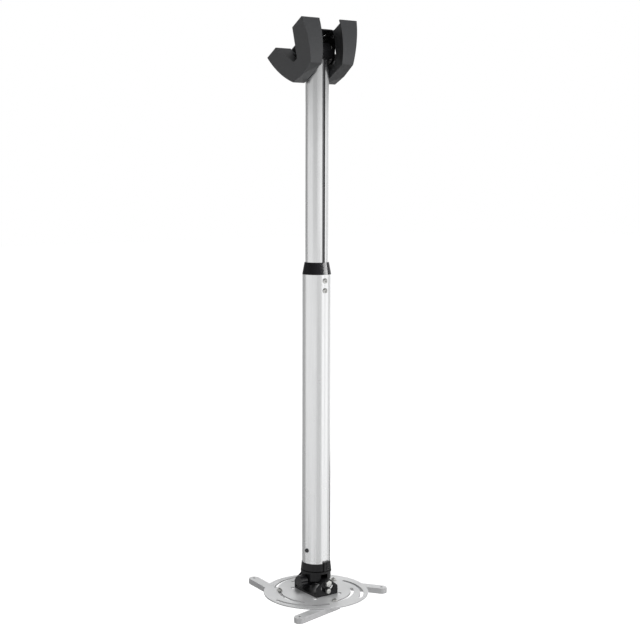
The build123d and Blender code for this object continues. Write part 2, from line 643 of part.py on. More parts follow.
def make_disc():
    disc = rod(DISC_R, -DISC_THICK, 0)
    disc = fillet(disc.edges(), DISC_EDGE_R)
    for turn in [Rot(0, 0, FIRST_SCREW_ANGLE + 120 * k) for k in range(3)]:
        points = [polar(INNER_SLOT_R, SLOT_SWEEP * share) for share in (0, 0.5, 1)]
        disc -= turn * extrude(arc_slot(points, LOCK_SLOT_HALF), -DISC_THICK)
    middle_r = (OUTER_START_R + OUTER_END_R) / 2
    for turn in [Rot(0, 0, OUTER_START_ANGLE + 120 * k) for k in range(3)]:
        points = [polar(OUTER_START_R, 0), polar(middle_r, SLOT_SWEEP / 2), polar(OUTER_END_R, SLOT_SWEEP)]
        disc -= turn * extrude(arc_slot(points, LOCK_SLOT_HALF), -DISC_THICK)
    for spot in GridLocations(2 * SIGHT_HOLE_X, 2 * SIGHT_HOLE_Y, 2, 2):
        disc -= spot * rod(SIGHT_HOLE_R, -DISC_THICK, 0)
    for spot in GridLocations(2 * RIVET_X, 2 * RIVET_Y, 2, 2):
        disc -= spot * rod(RIVET_R, -DISC_THICK, 0)
    return disc


def plate_rivets():
    head = Pos(0, 0, BASE_WALL) * rod(RIVET_HEAD_R, 0, RIVET_HEAD)
    head = fillet(head.edges().group_by(Axis.Z)[-1], BUTTON_ROUND * RIVET_HEAD)
    rivet = head + rod(RIVET_R, -DISC_THICK, BASE_WALL)
    return [PLATE * spot * rivet for spot in GridLocations(2 * RIVET_X, 2 * RIVET_Y, 2, 2)]


# Arms, from the top of the disc with the screw at the origin and the arm along +X
def arm_place(index):
    spot = polar(INNER_SLOT_R, FIRST_SCREW_ANGLE + 120 * index)
    return PLATE * Pos(*spot) * Rot(0, 0, FIRST_SCREW_ANGLE + 120 * index + ARM_ANGLES[index])


def make_arm():
    top = -DISC_THICK - SKIM
    middle = Pos(ARM_LENGTH / 2, 0, top)
    arm = middle * extrude(SlotCenterToCenter(ARM_LENGTH, 2 * ARM_R), -ARM_HEIGHT)
    arm = fillet(arm.edges().group_by(Axis.Z)[-1], ARM_EDGE_R)
    room = SlotCenterToCenter(ARM_LENGTH, 2 * (ARM_R - ARM_WALL))
    arm -= middle * Pos(0, 0, -ARM_TOP) * extrude(room, -ARM_HEIGHT)
    arm -= rod(M6[0] + RUNNING, top - ARM_TOP, top)
    return arm - Pos(ARM_LENGTH, 0, 0) * rod(ARM_HOLE_R, top - ARM_TOP, top)


def arm_nut():
    seat = -DISC_THICK - 2 * SKIM - ARM_TOP
    return Pos(0, 0, seat) * Rot(180, 0, 0) * hex_nut(M6)


def arm_screw():
    seat = SKIM + WASHER
    length = seat + DISC_THICK + 2 * SKIM + ARM_TOP + M6[3] + BOLT_TAIL
    return Pos(0, 0, seat) * button_screw(M6[0], length)


front_cover = make_front_cover()
nodes = {
    "ceiling_bracket": ROOF * make_bracket(),
    "front_cover": ROOF * front_cover,
    "rear_cover": ROOF * mirror(front_cover, about=Plane.XZ),
    "cover_screws": group(cover_screws()),
    "pivot_bolt": HINGE * cross_bolt(M10, PIVOT_SEAT),
    "pivot_nut": HINGE * cross_nut(M10, PIVOT_SEAT),
    "pivot_washers": group(HINGE * w for w in washer_pair(M10, PIVOT_SEAT)),
    "friction_washers": group(friction_washers()),
    "pole_head": PIVOT * make_head(),
    "head_screws": group(head_screws()),
    "lock_bolt": LOCK * cross_bolt(M6, LOCK_SEAT),
    "lock_nut": LOCK * cross_nut(M6, LOCK_SEAT),
    "lock_washers": group(LOCK * w for w in washer_pair(M6, LOCK_SEAT)),
    "upper_tube": UPPER_TOP * make_upper_tube(),
    "slide_bush": UPPER_END * make_bush(),
    "lower_tube": RING * make_lower_tube(),
    "guide_ring": RING * make_ring(),
    "clamp_screws": group(clamp_screws()),
    "end_collar": FOOT * make_collar(),
    "collar_screws": group(pad_screws()),
    "tube_set_screws": group(set_screws()),
    "swivel_yoke": GIMBAL * make_yoke(),
    "swivel_washer": swivel_washer(),
    "swivel_nut": GIMBAL * Pos(0, 0, SPINDLE_TOP + SWIVEL_WASHER) * hex_nut(M10),
    "tilt_bolt": tilt_bolt(),
    "tilt_washers": group(GIMBAL * w for w in washer_pair(M8, TILT_SEAT)),
    "tilt_knob": tilt_knob(),
    "cross_block": GIMBAL * make_cross(),
    "roll_bolts": group(roll_bolts()),
    "roll_lock_bolts": group(roll_lock_bolts()),
    "roll_washers": group(roll_washers()),
    "plate_bracket": PLATE * make_plate_bracket(),
    "interface_disc": PLATE * make_disc(),
    "plate_rivets": group(plate_rivets()),
}
for index in range(3):
    place = arm_place(index)
    nodes[f"arm_{index + 1}"] = place * make_arm()
    nodes[f"arm_screw_{index + 1}"] = place * arm_screw()
    nodes[f"arm_washer_{index + 1}"] = place * Pos(0, 0, SKIM) * washer(M6)
    nodes[f"arm_nut_{index + 1}"] = place * arm_nut()

os.makedirs("parts", exist_ok=True)
for name, shape in nodes.items():
    shape.label = name
    export_step(shape, f"parts/{name}.step")
    print(name, round(shape.volume), len(shape.solids()))
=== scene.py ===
# %% [markdown]
# # A projector ceiling mount
# The mount is a telescopic aluminium pole that hangs plumb below a sloping ceiling. At the top a steel
# bracket and two plastic cover halves hide a hinge. At the bottom a black two-axis head carries a
# slotted disc with three arms. The construction comes in as a fixed frame, and this lesson gives each
# piece its real edges, threads and finish.

# %% Load the fixed frame
import json
import math

import bmesh
import bpy
from mathutils import Matrix, Quaternion, Vector


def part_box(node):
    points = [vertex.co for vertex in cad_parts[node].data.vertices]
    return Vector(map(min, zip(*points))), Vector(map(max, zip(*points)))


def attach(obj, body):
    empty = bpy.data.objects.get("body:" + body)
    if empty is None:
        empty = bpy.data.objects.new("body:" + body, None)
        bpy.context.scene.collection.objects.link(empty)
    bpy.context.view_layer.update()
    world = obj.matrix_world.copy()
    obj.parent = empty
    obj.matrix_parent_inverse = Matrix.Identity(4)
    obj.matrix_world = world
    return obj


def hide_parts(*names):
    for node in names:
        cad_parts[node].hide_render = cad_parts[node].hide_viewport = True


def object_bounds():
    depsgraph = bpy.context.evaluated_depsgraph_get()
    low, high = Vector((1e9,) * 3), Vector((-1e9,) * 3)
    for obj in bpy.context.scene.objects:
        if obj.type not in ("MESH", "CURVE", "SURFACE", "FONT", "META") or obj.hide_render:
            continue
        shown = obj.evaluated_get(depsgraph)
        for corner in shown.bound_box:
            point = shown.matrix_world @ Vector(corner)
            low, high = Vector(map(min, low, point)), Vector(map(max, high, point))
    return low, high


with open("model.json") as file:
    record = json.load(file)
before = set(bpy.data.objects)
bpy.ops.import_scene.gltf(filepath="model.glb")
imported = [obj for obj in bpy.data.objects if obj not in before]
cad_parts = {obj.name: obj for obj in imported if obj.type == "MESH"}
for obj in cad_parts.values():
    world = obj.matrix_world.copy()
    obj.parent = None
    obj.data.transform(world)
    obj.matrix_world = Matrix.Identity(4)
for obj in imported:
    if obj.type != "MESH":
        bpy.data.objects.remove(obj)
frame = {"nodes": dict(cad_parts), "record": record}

nodes = frame["nodes"]
cad_box = [list(corner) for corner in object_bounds()]
MM = 0.001

# %% [markdown]
# ## Where things are
# Sizes and places are read from the frame, so a piece lands where the construction has it. The pole's
# axis is the middle of the lower tube. Each node also names its body, which it moves with, and the slot
# of its finish.

# %% Measure the frame
tube_low, tube_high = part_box("lower_tube")
pole_x = (tube_low.x + tube_high.x) / 2
record = frame["record"]
node_body = {node: body for body, members in record["behaviour"]["bodies"].items() for node in members}
node_slot = {row["node"]: row["material_slot"] for row in record["subparts"]}
print("pole axis at x =", round(pole_x, 4), "- slots:", sorted(set(node_slot.values())))

# %% [markdown]
# ## Camera
# The photograph was taken from well back with a longish lens, below the hinge and looking slightly down.
# The lens and place come from the tubes' widths and the disc's ellipse. The pole stands a few pixels
# left of the middle, which is a small shift, and it leans by a tenth of a degree, which is a small roll.

# %% Camera
LENS = 70.0
CAMERA_TURN = math.radians(35.0)
CAMERA_TILT = math.radians(6.78)
CAMERA_ROLL = math.radians(0.14)
CAMERA_DISTANCE = 2.587
CAMERA_HEIGHT = -0.2698
FRAME_PIXELS = 640
POLE_PIXELS_LEFT = 3.4

toward = Vector((math.cos(CAMERA_TURN), -math.sin(CAMERA_TURN), 0.0))
look = -toward * math.cos(CAMERA_TILT) - Vector((0.0, 0.0, math.sin(CAMERA_TILT)))
camera_data = bpy.data.cameras.new("photo_camera")
camera_data.lens = LENS
camera_data.shift_x = POLE_PIXELS_LEFT / FRAME_PIXELS
camera = bpy.data.objects.new("photo_camera", camera_data)
camera.location = Vector((pole_x, 0.0, CAMERA_HEIGHT)) + toward * CAMERA_DISTANCE
camera.rotation_mode = "QUATERNION"
camera.rotation_quaternion = Quaternion(look, -CAMERA_ROLL) @ look.to_track_quat("-Z", "Y")
bpy.context.scene.collection.objects.link(camera)
bpy.context.scene.camera = camera
bpy.context.scene.view_settings.view_transform = "Standard"
print("camera at", tuple(round(c, 3) for c in camera.location))

# %% [markdown]
# ## White room
# The photograph has a plain white ground and soft light, and no shadow, because the mount hangs far
# above the floor. The world is white to the camera, greyer in reflections and dimmer still as a lamp.
# Worlds, materials and Geometry Nodes are all wired the same way, so one helper adds a node, sets its
# options, and gives each input either a value or a link. A tree then reads as a list of steps.

# %% World
WHITE = (1.0, 1.0, 1.0, 1.0)
WORLD_LIGHT = 0.03
WORLD_SHEEN = 0.32


def wired(tree, kind, inputs=None, **options):
    """Adds a node; an input is given by name or number, and is a value or another node's output."""
    node = tree.nodes.new(kind)
    for option, value in options.items():
        setattr(node, option, value)
    for key, value in (inputs or {}).items():
        if isinstance(value, bpy.types.NodeSocket):
            tree.links.new(value, node.inputs[key])
        else:
            node.inputs[key].default_value = value
    return node


def level_by_ray(tree, by_camera, by_sheen, by_light):
    """A strength that differs for camera rays, for glossy and transmission rays, and for light."""
    path = wired(tree, "ShaderNodeLightPath").outputs
    mirrored = wired(tree, "ShaderNodeMath", {
        0: path["Is Glossy Ray"], 1: path["Is Transmission Ray"]}, operation="MAXIMUM")
    sheen = wired(tree, "ShaderNodeMix", {"Factor": mirrored.outputs[0], "A": by_light, "B": by_sheen})
    level = wired(tree, "ShaderNodeMix", {
        "Factor": path["Is Camera Ray"], "A": sheen.outputs["Result"], "B": by_camera})
    return level.outputs["Result"]


world = bpy.data.worlds.new("white_studio")
bpy.context.scene.world = world
world.use_nodes = True
background = world.node_tree.nodes["Background"]
background.inputs["Color"].default_value = WHITE
world_level = level_by_ray(world.node_tree, 1.0, WORLD_SHEEN, WORLD_LIGHT)
world.node_tree.links.new(world_level, background.inputs["Strength"])
print("world nodes:", len(world.node_tree.nodes))

# %% [markdown]
# ## Floor
# The floor is a plain pale sheet, as far down as in a room. It is staging and no part of the mount.

# %% Floor
ROOM_HEIGHT = 2.3
FLOOR_SIZE = 60.0
FLOOR_GREY = (0.8, 0.8, 0.8, 1.0)
FLOOR_ROUGHNESS = 0.9
FLOOR_GLOW = 1.0
FLOOR_SHEEN = 0.45


def flat_sheet(name, width, height, material):
    mesh = bpy.data.meshes.new(name)
    x, y = width / 2, height / 2
    mesh.from_pydata([(-x, -y, 0), (x, -y, 0), (x, y, 0), (-x, y, 0)], [], [(0, 1, 2, 3)])
    mesh.materials.append(material)
    sheet = bpy.data.objects.new(name, mesh)
    bpy.context.scene.collection.objects.link(sheet)
    return sheet


pale = bpy.data.materials.new("pale_floor")
pale.use_nodes = True
floor_shader = pale.node_tree.nodes["Principled BSDF"]
floor_shader.inputs["Base Color"].default_value = FLOOR_GREY
floor_shader.inputs["Roughness"].default_value = FLOOR_ROUGHNESS
floor_shader.inputs["Emission Color"].default_value = WHITE
floor_level = level_by_ray(pale.node_tree, FLOOR_GLOW, FLOOR_SHEEN, 0.0)
pale.node_tree.links.new(floor_level, floor_shader.inputs["Emission Strength"])
floor = flat_sheet("floor", FLOOR_SIZE, FLOOR_SIZE, pale)
floor.location.z = -ROOM_HEIGHT
print("floor at", floor.location.z)

# %% [markdown]
# ## Lamps
# Three soft lamps light the dark covers and the coated disc: one to the right of the camera, one to the
# left, and one high up. They are left out of reflections, because bright metal is lit in another way,
# below. Lamps and cards are placed round the pole, by the angle to the right of the camera.

# %% Lamps
# angle, distance, height over the pole's middle, width, tall, watts
LAMPS = {
    "right_softbox": (60.0, 4.0, 0.6, 2.0, 3.2, 104.0),
    "top_softbox": (25.0, 2.4, 3.8, 2.4, 2.4, 120.0),
    "left_softbox": (-72.0, 3.6, 0.6, 1.6, 2.4, 46.0),
}
POLE_MIDDLE = Vector((pole_x, 0.0, (cad_box[0][2] + cad_box[1][2]) / 2))


def round_the_pole(angle, distance, height):
    """A point round the pole, at an angle to the right of the camera."""
    heading = math.radians(angle) - CAMERA_TURN
    return POLE_MIDDLE + Vector((math.cos(heading) * distance, math.sin(heading) * distance, height))


def facing_pole(item, level_aim=False):
    aim = POLE_MIDDLE - item.location
    if level_aim:
        aim.z = 0.0
    item.rotation_mode = "QUATERNION"
    item.rotation_quaternion = aim.to_track_quat("-Z", "Y")


def soft_lamp(name, angle, distance, height, width, tall, watts):
    data = bpy.data.lights.new(name, "AREA")
    data.shape = "RECTANGLE"
    data.size, data.size_y = width, tall
    data.energy = watts
    lamp = bpy.data.objects.new(name, data)
    lamp.location = round_the_pole(angle, distance, height)
    lamp.visible_camera = lamp.visible_glossy = False
    bpy.context.scene.collection.objects.link(lamp)
    facing_pole(lamp)
    return lamp


for name, place in LAMPS.items():
    lamp = soft_lamp(name, *place)
    print(name, "at", tuple(round(c, 2) for c in lamp.location), lamp.data.energy, "W")

# %% [markdown]
# ## Cards for the metal
# Bright metal shows what stands round it, and a round tube shows a card at twice the angle of the spot
# that mirrors it. A studio hangs cards for that. The bright stripe on the right of the tubes is a pale
# card far to the right, the faint dip beside the middle is a grey card next to the camera, and the dark
# left edge is a dark card behind. The camera looks down, so the lower a piece is, the lower is the row
# of cards that it shows. The lowest row is mostly dark, for the rim of the disc. Only reflections see
# the cards.

# %% Cards
CARD_DISTANCE = 1.8
# each card: from this angle, to this angle, how bright
UPPER_TUBE_CARDS = [(-157, -105, 0.34), (-105, -38, 0.86), (-38, 2, 0.62), (2, 12, 0.84), (12, 108, 1.08),
                    (108, 135, 0.72), (135, 203, 0.98)]
LOWER_TUBE_CARDS = [(-157, -98, 0.44), (-98, 2, 0.88), (2, 42, 0.64), (42, 64, 1.18), (64, 74, 0.85),
                    (74, 104, 1.15), (104, 135, 0.74), (135, 203, 1.12)]
HEAD_CARDS = [(-157, -98, 0.4), (-98, 2, 0.8), (2, 42, 0.66), (42, 104, 1.02), (104, 138, 0.72),
              (138, 160, 0.05), (160, 203, 0.7)]
ARM_CARDS = [(-157, -20, 0.1), (-20, 42, 0.4), (42, 104, 0.7), (104, 138, 0.6), (138, 160, 0.05),
             (160, 203, 0.7)]
# each row: top and bottom
CARD_ROWS = {(0.0, -0.55): UPPER_TUBE_CARDS, (-0.55, -1.3): LOWER_TUBE_CARDS,
             (-1.3, -1.8): HEAD_CARDS, (-1.8, -2.25): ARM_CARDS}


def card(name, level, width, tall):
    """An even card that only reflections see."""
    material = bpy.data.materials.new(name)
    material.use_nodes = True
    material.node_tree.nodes.clear()
    glow = wired(material.node_tree, "ShaderNodeEmission", {"Strength": level})
    wired(material.node_tree, "ShaderNodeOutputMaterial", {"Surface": glow.outputs[0]})
    sheet = flat_sheet(name, width, tall, material)
    sheet.visible_camera = sheet.visible_diffuse = sheet.visible_shadow = sheet.visible_transmission = False
    return sheet


for (high, low), row in CARD_ROWS.items():
    for start, end, level in row:
        width = 2 * CARD_DISTANCE * math.tan(math.radians(end - start) / 2)
        upright = card(f"card_{start}_{round(100 * high)}", level, width, high - low)
        middle = (low + high) / 2 - POLE_MIDDLE.z
        upright.location = round_the_pole((start + end) / 2, CARD_DISTANCE, middle)
        facing_pole(upright, level_aim=True)
print("cards:", sum(len(row) for row in CARD_ROWS.values()))

# %% [markdown]
# ## A flag on the floor
# One last dark card lies flat below and behind the disc, where the tubes' right edge would show pale
# floor.

# %% Floor flag
FLAG_SIZE = 1.2
FLAG_LEVEL = 0.02
FLAG_ANGLE = 138.0
FLAG_DISTANCE = 1.65
FLAG_HEIGHT = -2.25
floor_flag = card("floor_flag", FLAG_LEVEL, FLAG_SIZE, FLAG_SIZE)
floor_flag.location = round_the_pole(FLAG_ANGLE, FLAG_DISTANCE, FLAG_HEIGHT - POLE_MIDDLE.z)
print("flag at", tuple(round(c, 2) for c in floor_flag.location))

# %% [markdown]
# ## Grain and drawn lines
# Two effects come back on most pieces. Moulded plastic and baked coats have a fine grain, and drawn
# aluminium has long faint lines. One tree makes both from a noise with a width across and a length along
# the pole, in metres. A second, broad noise gives slow patches, for gloss that is never quite even.

# %% Grain and drawn lines
FINE_DETAIL = 2.0
BROAD_DETAIL = 3.0
GRAIN = {"across": 0.5 * MM, "along": 0.5 * MM, "depth": 0.02 * MM, "patch": 30 * MM}
LINES = {"across": 0.5 * MM, "along": 120 * MM, "depth": 0.002 * MM, "patch": 60 * MM}


def surface_group(name, across, along, depth, patch):
    group = bpy.data.node_groups.new(name, "ShaderNodeTree")
    for label, value in (("Across", across), ("Along", along), ("Depth", depth), ("Patch", patch)):
        socket = group.interface.new_socket(label, in_out="INPUT", socket_type="NodeSocketFloat")
        socket.default_value = value
    for label, kind in (("Tone", "Float"), ("Patches", "Float"), ("Normal", "Vector")):
        group.interface.new_socket(label, in_out="OUTPUT", socket_type="NodeSocket" + kind)
    given = wired(group, "NodeGroupInput").outputs
    place = wired(group, "ShaderNodeTexCoord").outputs["Object"]
    size = wired(group, "ShaderNodeCombineXYZ", {
        "X": given["Across"], "Y": given["Across"], "Z": given["Along"]})
    cells = wired(group, "ShaderNodeVectorMath", {0: place, 1: size.outputs[0]}, operation="DIVIDE")
    fine = wired(group, "ShaderNodeTexNoise", {
        "Vector": cells.outputs[0], "Scale": 1.0, "Detail": FINE_DETAIL})
    slow = wired(group, "ShaderNodeMath", {0: 1.0, 1: given["Patch"]}, operation="DIVIDE")
    broad = wired(group, "ShaderNodeTexNoise", {
        "Vector": place, "Scale": slow.outputs[0], "Detail": BROAD_DETAIL})
    bump = wired(group, "ShaderNodeBump", {"Distance": given["Depth"], "Height": fine.outputs["Fac"]})
    wired(group, "NodeGroupOutput", {
        "Tone": fine.outputs["Fac"], "Patches": broad.outputs["Fac"], "Normal": bump.outputs["Normal"]})
    return group


fine_grain = surface_group("fine_grain", **GRAIN)
drawn_lines = surface_group("drawn_lines", **LINES)
print("groups:", fine_grain.name, drawn_lines.name)

# %% [markdown]
# ## Masks
# Some finishes change where the shape does, and there the colour carries painted shade. The groove in
# the upper tube gets painted shade, the upright cut edges of the disc and arms get painted shade that
# makes them darker than their faces, and the seam round the end collar holds a painted shadow line. Each
# place is found from the piece's own coordinates: the distance to the pole's axis, how upright the face is,
# and the height.

# %% Masks
def mask_group(name, labels):
    """A group with these inputs and one mask, and the group's input sockets."""
    group = bpy.data.node_groups.new(name, "ShaderNodeTree")
    for label in labels:
        group.interface.new_socket(label, in_out="INPUT", socket_type="NodeSocketFloat")
    group.interface.new_socket("Mask", in_out="OUTPUT", socket_type="NodeSocketFloat")
    return group, wired(group, "NodeGroupInput").outputs, wired(group, "ShaderNodeTexCoord").outputs


inside_radius, given, place = mask_group("inside_radius", ("Axis X", "Radius"))
pole_axis = wired(inside_radius, "ShaderNodeCombineXYZ", {"X": given["Axis X"]}).outputs[0]
offset = wired(inside_radius, "ShaderNodeVectorMath", {
    0: place["Object"], 1: pole_axis}, operation="SUBTRACT")
level_part = wired(inside_radius, "ShaderNodeVectorMath", {
    0: offset.outputs[0], 1: (1.0, 1.0, 0.0)}, operation="MULTIPLY")
reach = wired(inside_radius, "ShaderNodeVectorMath", {0: level_part.outputs[0]}, operation="LENGTH")
below = wired(inside_radius, "ShaderNodeMath", {
    0: reach.outputs["Value"], 1: given["Radius"]}, operation="LESS_THAN")
wired(inside_radius, "NodeGroupOutput", {"Mask": below.outputs[0]})

upright_faces, given, place = mask_group("upright_faces", ("Upright From", "Upright To"))
facing = wired(upright_faces, "ShaderNodeSeparateXYZ", {0: place["Normal"]})
rise = wired(upright_faces, "ShaderNodeMath", {0: facing.outputs["Z"]}, operation="ABSOLUTE")
steep = wired(upright_faces, "ShaderNodeMapRange", {
    "Value": rise.outputs[0], "From Min": given["Upright To"], "From Max": given["Upright From"],
    "To Min": 1.0, "To Max": 0.0})
wired(upright_faces, "NodeGroupOutput", {"Mask": steep.outputs["Result"]})

height_band, given, place = mask_group("height_band", ("Height", "Half Width"))
spot_height = wired(height_band, "ShaderNodeSeparateXYZ", {0: place["Object"]})
apart = wired(height_band, "ShaderNodeMath", {
    0: spot_height.outputs["Z"], 1: given["Height"], 2: given["Half Width"]}, operation="COMPARE")
wired(height_band, "NodeGroupOutput", {"Mask": apart.outputs[0]})
print("masks:", inside_radius.name, upright_faces.name, height_band.name)

# %% [markdown]
# ## Finishes
# The covers are charcoal plastic with a moulded grain. The pole is satin aluminium, drawn lengthways.
# The disc and arms have a finer silver coat. Hinge and head are coated black, and the screws are zinc or
# blackened steel. Each finish varies a little in tone and gloss, because a surface with one even value
# looks like a drawing.

# %% Finishes
CHARCOAL = ((0.034, 0.035, 0.037), (0.046, 0.047, 0.049))
BLACK = ((0.006, 0.006, 0.007), (0.010, 0.010, 0.011))
ALUMINIUM = ((0.80, 0.805, 0.81), (0.88, 0.885, 0.89))
SILVER = ((0.86, 0.865, 0.87), (0.92, 0.925, 0.93))
ZINC = ((0.60, 0.60, 0.58), (0.72, 0.72, 0.70))
DARK_STEEL = ((0.05, 0.05, 0.052), (0.08, 0.08, 0.083))
PALE_PLASTIC = ((0.55, 0.55, 0.53), (0.62, 0.62, 0.60))
NOISE_LOW = 0.3
NOISE_HIGH = 0.7


def between(tree, tone, low, high):
    """Maps the middle of a noise to the range from low to high."""
    span = {"Value": tone, "From Min": NOISE_LOW, "From Max": NOISE_HIGH, "To Min": low, "To Max": high}
    return wired(tree, "ShaderNodeMapRange", span).outputs["Result"]


def finish(name, group, greys, metallic, gloss, sheen=0.5, **sizes):
    """A finish that runs from a dark to a light grey, with a roughness that runs over the gloss pair."""
    material = bpy.data.materials.new(name)
    material.use_nodes = True
    tree = material.node_tree
    shader = tree.nodes["Principled BSDF"]
    shader.inputs["Metallic"].default_value = metallic
    shader.inputs["Specular IOR Level"].default_value = sheen
    effect = wired(tree, "ShaderNodeGroup", sizes, node_tree=group).outputs
    shade = wired(tree, "ShaderNodeMix", {
        "Factor": between(tree, effect["Tone"], 0.0, 1.0)}, data_type="RGBA")
    shade.inputs["A"].default_value = (*greys[0], 1.0)
    shade.inputs["B"].default_value = (*greys[1], 1.0)
    tree.links.new(shade.outputs["Result"], shader.inputs["Base Color"])
    tree.links.new(between(tree, effect["Patches"], *gloss), shader.inputs["Roughness"])
    tree.links.new(effect["Normal"], shader.inputs["Normal"])
    return material


finishes = {
    "cover_plastic": finish("cover_plastic", fine_grain, CHARCOAL, 0.0, (0.42, 0.5)),
    "black_coat": finish("black_coat", fine_grain, BLACK, 0.0, (0.26, 0.36), sheen=0.28, Depth=0.015 * MM),
    "tube_aluminium": finish("tube_aluminium", drawn_lines, ALUMINIUM, 1.0, (0.22, 0.28)),
    "ring_plastic": finish("ring_plastic", fine_grain, BLACK, 0.0, (0.14, 0.2), sheen=0.1, Depth=0.002 * MM),
    "silver_coat": finish("silver_coat", fine_grain, SILVER, 0.55, (0.42, 0.5), Depth=0.012 * MM),
    "zinc_steel": finish("zinc_steel", fine_grain, ZINC, 1.0, (0.22, 0.36), Depth=0.006 * MM),
    "black_steel": finish("black_steel", fine_grain, DARK_STEEL, 0.8, (0.26, 0.38), Depth=0.006 * MM),
    "knob_plastic": finish("knob_plastic", fine_grain, BLACK, 0.0, (0.24, 0.32), sheen=0.6,
                           Depth=0.006 * MM),
    "bush_plastic": finish("bush_plastic", fine_grain, PALE_PLASTIC, 0.0, (0.40, 0.50)),
}
print("finishes:", ", ".join(finishes))

# %% [markdown]
# ## Where shade is painted
# A mask only has to tone the colour down, which paints shade into it. The end collar needs a copy of the
# black coat, because its seam is at one height and the other black pieces have none. The seam is also made
# metallic, because black metal mirrors nothing, so the painted shadow line shows no sheen.

# %% Painted shade in groove, cut edges and seam
# Painted shade: the grey that darkens the groove in the upper tube.
GROOVE_SHADE_GREY = (0.3, 0.3, 0.305, 1.0)
GROOVE_SKIN = 0.3 * MM
# Painted shade: the grey that darkens the upright cut edges of the disc and arms.
EDGE_SHADE_GREY = (0.5, 0.5, 0.505, 1.0)
UPRIGHT_FROM = 0.85
UPRIGHT_TO = 0.4
# Painted shadow: the black line in the seam round the end collar.
SEAM_SHADOW_BLACK = (0.0, 0.0, 0.0, 1.0)
SEAM_RISE = 4.5 * MM
SEAM_HALF = 1.0 * MM


def shade_painted_by_mask(material, group, colour, sizes):
    """Paints shade: takes the base colour down to another one where the group's mask is 1."""
    tree = material.node_tree
    base = tree.nodes["Principled BSDF"].inputs["Base Color"]
    mask = wired(tree, "ShaderNodeGroup", sizes, node_tree=group).outputs["Mask"]
    mixed = wired(tree, "ShaderNodeMix", {"Factor": mask}, data_type="RGBA")
    tree.links.new(base.links[0].from_socket, mixed.inputs["A"])
    mixed.inputs["B"].default_value = colour
    tree.links.new(mixed.outputs["Result"], base)
    return mask


groove_reach = pole_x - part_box("upper_tube")[0].x - GROOVE_SKIN
# Painted shade in the groove of the upper tube.
shade_painted_by_mask(finishes["tube_aluminium"], inside_radius, GROOVE_SHADE_GREY, {
    "Axis X": pole_x, "Radius": groove_reach})
# Painted shade on the upright cut edges of the disc and arms.
shade_painted_by_mask(finishes["silver_coat"], upright_faces, EDGE_SHADE_GREY, {
    "Upright From": UPRIGHT_FROM, "Upright To": UPRIGHT_TO})
collar_coat = finishes["black_coat"].copy()
collar_coat.name = "collar_coat"
seam_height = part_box("end_collar")[0].z + SEAM_RISE
# Painted shadow line in the seam round the end collar, made metallic so that it shows no sheen.
seam = shade_painted_by_mask(collar_coat, height_band, SEAM_SHADOW_BLACK, {"Height": seam_height, "Half Width": SEAM_HALF})
collar_coat.node_tree.links.new(seam, collar_coat.node_tree.nodes["Principled BSDF"].inputs["Metallic"])


def finish_of(name):
    return collar_coat if name == "end_collar" else finishes[node_slot[name]]


for name, node in nodes.items():
    node.data.materials.clear()
    node.data.materials.append(finish_of(name))
print("seam at", round(seam_height, 4), "- groove within", round(groove_reach / MM, 2), "mm of the axis")

# %% [markdown]
# ## From node to piece
# A piece with better edges stands for its node: it rides on the node's body and takes its slot. Its
# shape is the construction's own mesh, which comes as loose triangles and is welded to one skin first.

# %% From node to piece
WELD = 0.002 * MM


def as_piece(name, mesh, node):
    """An object for the mesh that stands for the node and moves with its body."""
    piece = in_scene(name, mesh)
    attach(piece, node_body[node])
    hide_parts(node)
    return piece


def in_scene(name, mesh):
    item = bpy.data.objects.new(name, mesh)
    bpy.context.scene.collection.objects.link(item)
    return item


def baked(item, name):
    """The item's mesh with its modifiers applied; the item itself is removed."""
    graph = bpy.context.evaluated_depsgraph_get()
    shaped = item.evaluated_get(graph)
    mesh = bpy.data.meshes.new_from_object(shaped, preserve_all_data_layers=True, depsgraph=graph)
    mesh.name = name
    bpy.data.objects.remove(item)
    return mesh


def welded(name):
    """The node's shape as one skin without repeated points."""
    shape = bmesh.new()
    shape.from_mesh(nodes[name].data)
    bmesh.ops.remove_doubles(shape, verts=shape.verts, dist=WELD)
    return shape


disc_skin = welded("interface_disc")
print("welding takes the disc from", len(nodes["interface_disc"].data.vertices), "to", len(disc_skin.verts))
disc_skin.free()

# %% [markdown]
# ## Pieces with soft edges
# A pressed, cast or turned piece has no knife edges, and the thin line of light along each edge is what
# the eye reads as metal. The flat faces of the welded skin are joined again, and a Bevel modifier rounds
# each edge that turns sharply. Weighted normals keep the flat faces flat. The width is chosen per piece.

# %% Soft edges
FLAT = math.radians(0.3)
BEVEL_FROM = math.radians(38.0)
BEVEL_STEPS = 3
# bevel widths in mm
EDGES = {
    "ceiling_bracket": 0.5, "pole_head": 0.8, "guide_ring": 0.7, "end_collar": 0.3, "swivel_yoke": 1.0,
    "cross_block": 0.8, "plate_bracket": 0.5, "tilt_knob": 0.6, "interface_disc": 0.25,
    "arm_1": 0.4, "arm_2": 0.4, "arm_3": 0.4, "slide_bush": 0.4, "friction_washers": 0.2,
    "pivot_nut": 0.3, "pivot_washers": 0.25, "lock_nut": 0.25, "lock_washers": 0.25, "tilt_washers": 0.25,
    "roll_washers": 0.25, "swivel_nut": 0.3, "swivel_washer": 0.25,
    "arm_washer_1": 0.25, "arm_washer_2": 0.25, "arm_washer_3": 0.25,
    "arm_nut_1": 0.25, "arm_nut_2": 0.25, "arm_nut_3": 0.25,
}


